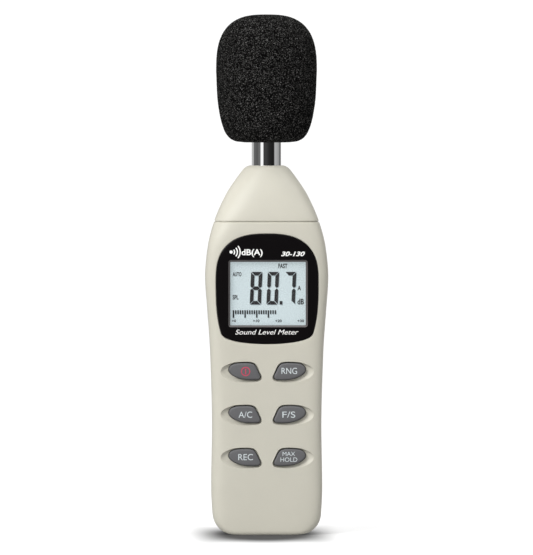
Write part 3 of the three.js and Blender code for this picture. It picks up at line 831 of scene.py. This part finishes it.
def flat_print(name, polygons, depth, body, material):
    """Print as a flat mesh facing the front, from polygons of (x, z) points and a depth function."""
    points, faces = [], []
    for polygon in polygons:
        start = len(points)
        points += [(x, depth(x, z), z) for x, z in polygon]
        faces.append(tuple(range(start, len(points))))
    obj = mesh_object(name, points, faces)
    for face in obj.data.polygons:
        if face.normal.y > 0:
            face.flip()
    return piece(obj, body, material)


CAPITAL = 0.729
SEGMENTS = {"8": "abcdefg", "0": "abcdef", "7": "abc"}


def lettering(words, height, centre, shear=0.0, weight=0.0, width=None):
    """Polygons of one line of words, with capitals of this height, about a centre (x, z)."""
    curve = bpy.data.curves.new("words", "FONT")
    curve.body = words
    curve.shear = shear
    curve.offset = weight
    curve.resolution_u = 5
    holder = bpy.data.objects.new("words", curve)
    bpy.context.scene.collection.objects.link(holder)
    bpy.context.view_layer.update()
    mesh = bpy.data.meshes.new_from_object(holder)
    points = np.array([v.co[:2] for v in mesh.vertices])
    faces = [tuple(p.vertices) for p in mesh.polygons]
    bpy.data.objects.remove(holder)
    low, high = points.min(axis=0), points.max(axis=0)
    scale = height / CAPITAL
    stretch = scale if width is None else width / (high[0] - low[0])
    middle = ((low[0] + high[0]) / 2, CAPITAL / 2)
    points = (points - middle) * (stretch, scale) + centre
    return [points[list(face)] for face in faces]


def digit(symbol, left, low, width, height):
    """Polygons of one leaning seven-segment digit."""
    gap, corner, stroke, lean = 0.09, 0.13, 1.7, 0.045
    inner = stroke + gap * 1.3
    half, thick = height / 2, stroke / 2
    top = [
        (corner + gap, height), (inner, height - stroke), (width - inner, height - stroke),
        (width - corner - gap, height),
    ]
    side = [
        (width, height - corner - gap), (width - stroke, height - inner),
        (width - stroke, half + thick + gap), (width - thick, half + gap), (width, half + thick),
    ]
    middle = [
        (thick + gap, half), (inner, half - thick), (width - inner, half - thick),
        (width - thick - gap, half), (width - inner, half + thick), (inner, half + thick),
    ]

    def flipped(points, across=False, upside=False):
        return [(width - x if across else x, height - z if upside else z) for x, z in points]

    shapes = {
        "a": top, "b": side, "c": flipped(side, upside=True), "d": flipped(top, upside=True),
        "e": flipped(side, True, True), "f": flipped(side, True), "g": middle,
    }
    return [[(left + x + lean * z, low + z) for x, z in shapes[s]] for s in SEGMENTS[symbol]]


def rectangle(left, right, low, high):
    return [(left, low), (right, low), (right, high), (left, high)]


def moved(polygons, across, up):
    """Polygons moved across and up the face."""
    return [[(x + across, z + up) for x, z in polygon] for polygon in polygons]


def shaded_print(name, marks, across, down):
    """Dark display marks, and the soft shade they throw on the film just behind them."""
    flat_print(name, marks, flat(SCREEN_Y), "casing", SEGMENT)
    flat_print(f"{name}_shade", moved(marks, across, -down), flat(SCREEN_Y + 0.05), "casing", SHADE)


def reading():
    """The three digits and the decimal point."""
    low, height, width = SCREEN_FOOT + 12.7, 15.15, 5.3
    marks = []
    for symbol, left in (("8", -8.1), ("0", -0.35), ("7", 7.6)):
        marks += digit(symbol, left, low, width, height)
    marks.append(rectangle(5.8, 7.1, low, low + 1.65))
    shaded_print("reading", marks, 0.3, 0.35)


def bar_graph():
    """Evenly spaced bars, every fifth one longer."""
    pitch, first, half, top = 1.08, -15.6, 0.34, SCREEN_FOOT + 10.1
    ticks = []
    for i in range(19):
        middle = first + i * pitch
        foot = SCREEN_FOOT + (6.65 if i % 5 == 0 else 8.3)
        ticks.append(rectangle(middle - half, middle + half, foot, top))
    shaded_print("bar_graph", ticks, 0.2, 0.3)


def display_words():
    """The display's small words and the numbers of its scale."""
    notes = [
        ("AUTO", 1.9, (-13.9, 26.8), 4.1), ("SPL", 2.0, (-14.6, 16.15), 2.7),
        ("FAST", 2.1, (7.3, 30.65), 4.2), ("A", 2.1, (14.9, 20.4), 1.7),
        ("dB", 2.6, (15.55, 14.15), 3.0),
    ]
    notes += [(f"+{10 * i}", 1.2, (-15.35 + 10.3 * i, 5.2), 3.1 if i else 2.0) for i in range(4)]
    words = []
    for text, size, (x, up), wide in notes:
        words += lettering(text, size, (x, SCREEN_FOOT + up), weight=0.032, width=wide)
    flat_print("display_words", words, flat(SCREEN_Y), "casing", SEGMENT)


def wave_mark(x, z):
    """A plain sign for sound: a dot with three arcs spreading from it."""
    marks = []
    for radius in (1.6, 2.9, 4.2):
        marks += arc_band(x, z, radius - 0.28, radius + 0.28, np.linspace(-0.72, 0.72, 13))
    marks.append(around(x, z, 0.75, np.linspace(0, 2 * math.pi, 20, endpoint=False)))
    return marks


def lens_print():
    """White print on the lens."""
    depth = flat(lens_low[1] - 0.02)
    low = lens_low[2]
    title = lettering("Sound Level Meter", 2.4, (-0.15, low + 5.65), 0.3, 0.0, 29.3)
    unit = lettering("dB(A)", 2.8, (-7.0, low + 42.6), 0.0, 0.025, 9.8)
    span = lettering("30-130", 2.1, (11.9, low + 41.8), 0.3, 0.03, 11.0)
    flat_print("lens_words", title + unit + span, depth, "casing", WHITE_PRINT)
    flat_print("sound_mark", wave_mark(-16.7, low + 42.6), depth, "casing", WHITE_PRINT)


# ---------- keys ----------

def key_surface(side, row):
    """The domed top of a key as a function of place."""
    def depth(x, z):
        reach = ((x - side * KEY_X) / 7.8) ** 2 + ((z - row) / 4.6) ** 2
        return KEY_TOP - KEY_CROWN * max(1 - reach, -0.3)
    return depth


def key(name, side, row):
    """A soft key: a plug behind, a cuff that keeps it in, and a domed top with a rounded edge."""
    outline = key_outline(KEY_SHAPE, side, row)
    surface = key_surface(side, row)
    rings = [at_depth(grown(outline, -1.6), y) for y in (-12.4, -15.3)]
    for offset, y in ((KEY_CUFF, -15.35), (KEY_CUFF, -15.9), (0, -15.95)):
        rings.append(at_depth(grown(outline, offset), y))
    for t in np.linspace(0, math.pi / 2, 7):
        edge = grown(outline, -KEY_FILLET * (1 - math.cos(t)))
        rings.append(on_surface(edge, surface, KEY_FILLET * (1 - math.sin(t))))
    rim = grown(outline, -KEY_FILLET)
    centre = rim.mean(axis=0)
    for scale in (0.85, 0.7, 0.5, 0.3, 0.1):
        rings.append(on_surface(centre + (rim - centre) * scale, surface))
    piece(loft(f"cap_{name}", rings), f"key_{name}", RUBBER, [f"key_{name}"])


def power_sign(x, z):
    """A ring with an upright bar in it."""
    marks = arc_band(x, z, 1.7, 2.15, np.linspace(0, 2 * math.pi, 33))
    marks.append(rectangle(x - 0.25, x + 0.25, z - 1.3, z + 1.3))
    return marks


# Words, height of capitals, place and width of each key's legend.
LEGENDS = {
    "range": [("RNG", 3.0, (10.2, 0.45), 7.2)],
    "weighting": [("A/C", 3.0, (-10.1, 0.1), 6.3)],
    "response": [("F/S", 3.0, (10.0, 0.1), 6.0)],
    "record": [("REC", 3.0, (-10.0, 0.35), 6.8)],
    "max_hold": [("MAX", 2.0, (10.0, 1.8), 5.8), ("HOLD", 2.1, (10.0, -0.85), 7.8)],
}


def legend(name, side, row):
    """A key's print, laid on its domed top."""
    surface = key_surface(side, row)

    def depth(x, z):
        return surface(x, z) - 0.04

    if name == "power":
        flat_print("legend_power", power_sign(-10.0, row + 0.1), depth, "key_power", RED_LEGEND)
        return
    marks = []
    for words, height, (x, z), width in LEGENDS[name]:
        marks += lettering(words, height, (x, row + z), width=width)
    flat_print(f"legend_{name}", marks, depth, f"key_{name}", LEGEND)


def keypad():
    """All six keys with their legends."""
    for row, names in KEY_ROWS.items():
        for side, name in zip((-1, 1), names):
            key(name, side, row)
            legend(name, side, row)


# ---------- microphone and windscreen ----------

def mic_tube():
    """The polished tube, narrower where it sits in the nose, with a seat for the capsule at its top."""
    radius, bore = tube_high[0], 4.6
    seat, low, high = 160.7, tube_low[2], tube_high[2]
    profile = [
        (bore, low), (5.4, low), (5.4, seat), (radius - 0.3, seat), (radius, seat + 0.3),
        (radius, high - 0.3), (radius - 0.3, high), (6.1, high), (6.1, high - 7), (bore, high - 7),
    ]
    piece(turned("tube", profile, loop=True, count=128), "casing", CHROME, ["mic_tube"])


def mic_grid():
    """The protective cap over the capsule, with two rings of holes."""
    radius, low, high = grid_high[0], grid_low[2], grid_high[2]
    profile = [
        (6.15, low), (radius, low), (radius, high - 0.9), (radius - 0.25, high - 0.35),
        (radius - 0.8, high), (0.02, high), (0.02, high - 1.4), (6.15, high - 1.4),
    ]
    cap = turned("grid", profile, loop=True)
    for ring, holes in ((2.2, 6), (4.5, 12)):
        for x, y in around(0, 0, ring, [2 * math.pi * i / holes for i in range(holes)]):
            carve(cap, rod(0.8, high - 3, high + 1, "z", (x, y, 0), 20))
    piece(cap, "casing", SLOTS["grid"], ["mic_grid"])


def foam_profile(spacing):
    """Outer profile of the windscreen from the bore's mouth over the dome, as evenly spaced points."""
    radius, low, high = -foam_low[1] - 0.15, foam_low[2], foam_high[2]
    waist = low + 33
    lower = smooth_curve([
        (0, 10.5), (0.45, 14.2), (2.0, 17.2), (5.4, 19.6), (12, 21.6), (21, 22.9), (33, radius),
    ])
    rise = 33 * np.linspace(0, 1, 200) ** 2
    below = np.array([(lower(h), low + h) for h in rise])
    angle = np.linspace(0, math.pi / 2, 300)
    power = 2 / 2.8
    dome = np.column_stack([
        radius * np.cos(angle).clip(0) ** power, waist + (high - waist) * np.sin(angle) ** power,
    ])
    line = np.vstack([below, dome[1:]])
    travel = np.concatenate([[0], np.cumsum(np.hypot(*np.diff(line, axis=0).T))])
    even = np.linspace(0, travel[-1] - 0.6, int(travel[-1] / spacing))
    return np.column_stack([np.interp(even, travel, line[:, i]) for i in (0, 1)])


def windscreen():
    """The foam cover: a smooth outer skin pitted with open cells, and a plain bore.

    It casts no shadow, as the studio's light comes in under it on all sides.
    """
    bore, depth, count = 7.15, 48.6, 400
    low = foam_low[2]
    skin = foam_profile(0.37)
    along = np.gradient(skin, axis=0)
    along /= np.linalg.norm(along, axis=1)[:, None]
    angle = np.linspace(0, 2 * math.pi, count, endpoint=False)
    circle = np.column_stack([np.cos(angle), np.sin(angle)])
    inside = [
        (bore - 6.5, low + depth), (bore - 0.4, low + depth), (bore, low + depth - 0.4),
        (bore, low + 0.5), (bore + 0.5, low),
    ]
    rings = [[(radius * c, radius * s, z) for c, s in circle] for radius, z in inside]
    for (radius, z), (out, up) in zip(skin, along):
        ring = []
        for c, s in circle:
            place = Vector((radius * c, radius * s, z))
            nearest, second = noise.voronoi(place / FOAM_CELL)[0][:2]
            pit = FOAM_PIT * min((second - nearest) / 0.5, 1.0)
            ring.append(place - pit * Vector((up * c, up * s, -out)))
        rings.append(ring)
    cover = piece(loft("foam_cover", rings), "windscreen", FOAM, ["windscreen"], sharp=180)
    cover.visible_shadow = False


# ---------- small parts at the back ----------

def tripod_insert():
    """The brass insert with its threaded hole."""
    low, high, radius = insert_low[1], insert_high[1], insert_high[0]
    thread = [(0.02, low), (radius, low), (radius, high - 0.25), (radius - 0.25, high), (3.35, high)]
    pitch = 1.27
    turns = int((high - low - 2.5) / pitch)
    for i in range(turns):
        y = high - 0.3 - i * pitch
        thread += [(3.15, y), (2.65, y - pitch / 2)]
    thread += [(2.6, low + 1.2), (0.02, low + 1.2)]
    insert = turned("threaded_insert", thread, "y", TRIPOD, 72, loop=True)
    piece(insert, "casing", BRASS, ["tripod_insert"], sharp=25)


def case_screw(node):
    """A round-headed screw with a cross recess."""
    low, high = extents(node)
    x, z = (low[0] + high[0]) / 2, (low[2] + high[2]) / 2
    head, tip, seat, top = (high[0] - low[0]) / 2, low[1], high[1] - 1.8, high[1]
    profile = [(0.02, tip), (0.6, tip), (1.1, tip + 1.2), (1.1, seat), (head, seat), (head, seat + 1.0)]
    profile += [(head * math.cos(t), seat + 1.0 + 0.8 * math.sin(t)) for t in (0.35, 0.7, 1.0, 1.3)]
    profile.append((0.02, top))
    screw = turned(f"{node}_head", profile, "y", (x, 0, z), 48)
    for width, height in ((1.5, 0.28), (0.28, 1.5)):
        carve(screw, block((x - width, x + width), (top - 0.9, top + 1), (z - height, z + height)))
    piece(screw, "casing", STEEL, [node])


# ---------- studio ----------

# The painted shadow under the meter as the camera sees it: where its middle is, its half width, how far
# it reaches in front of the meter's middle, and its half height.
PAINTED_SHADOW_MIDDLE = -1.7
PAINTED_SHADOW_WIDTH = 23.2
PAINTED_SHADOW_DROP = 0.85
PAINTED_SHADOW_HEIGHT = 2.8

# Light of the room that polished surfaces mirror, by heading from the front in degrees.
ROOM = [
    (-180, 0.35), (-172, 0.1), (-152, 0.12), (-146, 1.1), (-132, 0.8), (-120, 0.2), (-76, 0.13),
    (-68, 0.2), (-60, 0.17), (-50, 0.3), (-46, 1.4), (-28, 1.4), (-24, 0.06), (-6, 0.07),
    (20, 0.03), (60, 0.015), (68, 0.62), (110, 0.45), (124, 0.2), (146, 0.06), (152, 0.9),
    (166, 0.9), (171, 0.3), (180, 0.35),
]


def grey(light):
    return (light, light, light, 1)


def painted_contact_shadow(made):
    """The painted soft shadow under the meter: 1 at its middle, 0 away from it.

    It keeps its height in the picture, so its depth on the floor follows the angle it is seen at.
    """
    facing = made.add("NewGeometry").outputs["Incoming"]
    side = made.math("SUBTRACT", made.axis("X"), PAINTED_SHADOW_MIDDLE * MM)
    side = made.math("DIVIDE", side, PAINTED_SHADOW_WIDTH * MM)
    side = made.math("MULTIPLY", side, side)
    swell = made.math("MULTIPLY", made.math("MULTIPLY", side, side), 0.35)
    height = made.math("MULTIPLY", made.math("ADD", swell, 1.0), PAINTED_SHADOW_HEIGHT * MM)
    seen = made.math("MULTIPLY", made.axis("Y"), made.axis("Z", facing))
    depth = made.math("DIVIDE", made.math("ADD", seen, PAINTED_SHADOW_DROP * MM), height)
    reach = made.math("SQRT", made.math("ADD", side, made.math("MULTIPLY", depth, depth)))
    painted_shadow = made.spread(reach, 0.7, 1.66, 0.965, 0.0)
    painted_shadow.node.interpolation_type = "SMOOTHSTEP"
    return painted_shadow


def floor_material():
    """Pale and partly lit from within to the camera, with a painted shadow where the meter stands, and
    a middling grey to everything it lights.
    """
    made = new_material("floor")
    seen = made.add("LightPath").outputs["Is Camera Ray"]
    grain = made.blend(made.noise(40), grey(0.89), grey(0.91))
    # Painted shadow: the floor's colour is mixed towards dark grey under the meter.
    floor_with_painted_shadow = made.blend(painted_contact_shadow(made), grain, grey(0.04))
    half_lit = made.blend(made.number(0.5), BLACK, floor_with_painted_shadow)
    made.link(made.blend(seen, grey(0.52), half_lit), made.shader.inputs["Base Color"])
    made.link(floor_with_painted_shadow, made.shader.inputs["Emission Color"])
    made.link(made.math("MULTIPLY", seen, 0.6), made.shader.inputs["Emission Strength"])
    made.shader.inputs["Roughness"].default_value = 0.9
    made.shader.inputs["Specular IOR Level"].default_value = 0.1
    return made.holder


def floor():
    """A wide round floor, with small faces where the meter stands."""
    reach, rings, spokes = 4500.0, 24, 48
    angles = np.linspace(0, 2 * math.pi, spokes, endpoint=False)
    points = []
    for radius in reach * np.linspace(0.004, 1, rings) ** 2:
        points += [(x, y, 0.0) for x, y in around(0, 0, radius, angles)]
    faces = [tuple(range(spokes))]
    for k in range(rings - 1):
        for i in range(spokes):
            j = (i + 1) % spokes
            inner, outer = k * spokes, (k + 1) * spokes
            faces.append((inner + i, outer + i, outer + j, inner + j))
    plate = mesh_object("floor", points, faces)
    plate.data.materials.append(floor_material())
    plate.visible_glossy = False


def room(made):
    """The room's light all round, as a colour."""
    heading = made.math("ARCTAN2", made.axis("X"), made.math("MULTIPLY", made.axis("Y"), -1))
    node = made.add("ValToRGB")
    elements = node.color_ramp.elements
    while len(elements) < len(ROOM):
        elements.new(0.5)
    for element, (degrees, _) in zip(elements, ROOM):
        element.position = degrees / 360 + 0.5
    for element, (_, light) in zip(elements, ROOM):
        element.color = (light, light, light * 0.98, 1)
    made.link(made.spread(heading, -math.pi, math.pi), node.inputs["Fac"])
    return node.outputs["Color"]


def studio_world():
    """Surroundings white to the camera and brighter on the left, with a room in polished surfaces."""
    world = bpy.data.worlds.new("studio")
    bpy.context.scene.world = world
    made = Nodes(world, "Generated")
    path = made.add("LightPath")
    sides = made.spread(made.axis("X"), -1, 1, 0.66, 0.15)
    lit = made.blend(path.outputs["Is Glossy Ray"], sides, room(made))
    seen = made.blend(path.outputs["Is Camera Ray"], lit, grey(1.05))
    made.link(seen, made.tree.nodes["Background"].inputs["Color"])


def direction(tilt, heading):
    """Unit vector tilt degrees from straight up, towards a heading in degrees round from the front."""
    t, h = math.radians(tilt), math.radians(heading)
    return Vector((math.sin(t) * math.sin(h), -math.sin(t) * math.cos(h), math.cos(t)))


def placed(name, data, place, back):
    """Puts a light or a camera in the scene, facing away from the direction back."""
    obj = bpy.data.objects.new(name, data)
    obj.location = place
    obj.rotation_mode = "QUATERNION"
    obj.rotation_quaternion = back.to_track_quat("Z", "Y")
    bpy.context.scene.collection.objects.link(obj)
    return obj


def sun(strength, softness, tilt, heading):
    """A wide soft light from far away."""
    data = bpy.data.lights.new("overhead", "SUN")
    data.energy = strength
    data.angle = math.radians(softness)
    placed("overhead", data, (0, 0, 0), direction(tilt, heading))


def softbox(place, size, power):
    """A square area light at place, in metres, aimed at the meter's middle."""
    data = bpy.data.lights.new("softbox", "AREA")
    data.energy = power
    data.size = size
    placed("softbox", data, place, Vector(place) - Vector((0, 0, 0.12)))


def camera():
    """A long lens nearly square to the front, a little above the middle and to the left, in metres."""
    distance, seen_height, middle = 4.0, 0.2579, 0.1188
    data = bpy.data.cameras.new("camera")
    data.sensor_width = 36
    data.lens = data.sensor_width * distance / seen_height
    back = direction(88.6, -1.0)
    eye = placed("camera", data, Vector((0, 0, middle)) + back * distance, back)
    bpy.context.scene.camera = eye


dress_cad_nodes()
front_shell()
rear_shell()
nose()
battery_door()
lens()
lens_print()
reading()
bar_graph()
display_words()
keypad()
mic_tube()
mic_grid()
windscreen()
tripod_insert()
for number in range(1, 5):
    case_screw(f"case_screw_{number}")
floor()
studio_world()
sun(2.15, 70, 9, 90)
softbox((-0.95, -1.15, 1.15), 0.9, 23)
camera()
bpy.context.scene.view_settings.view_transform = "Standard"
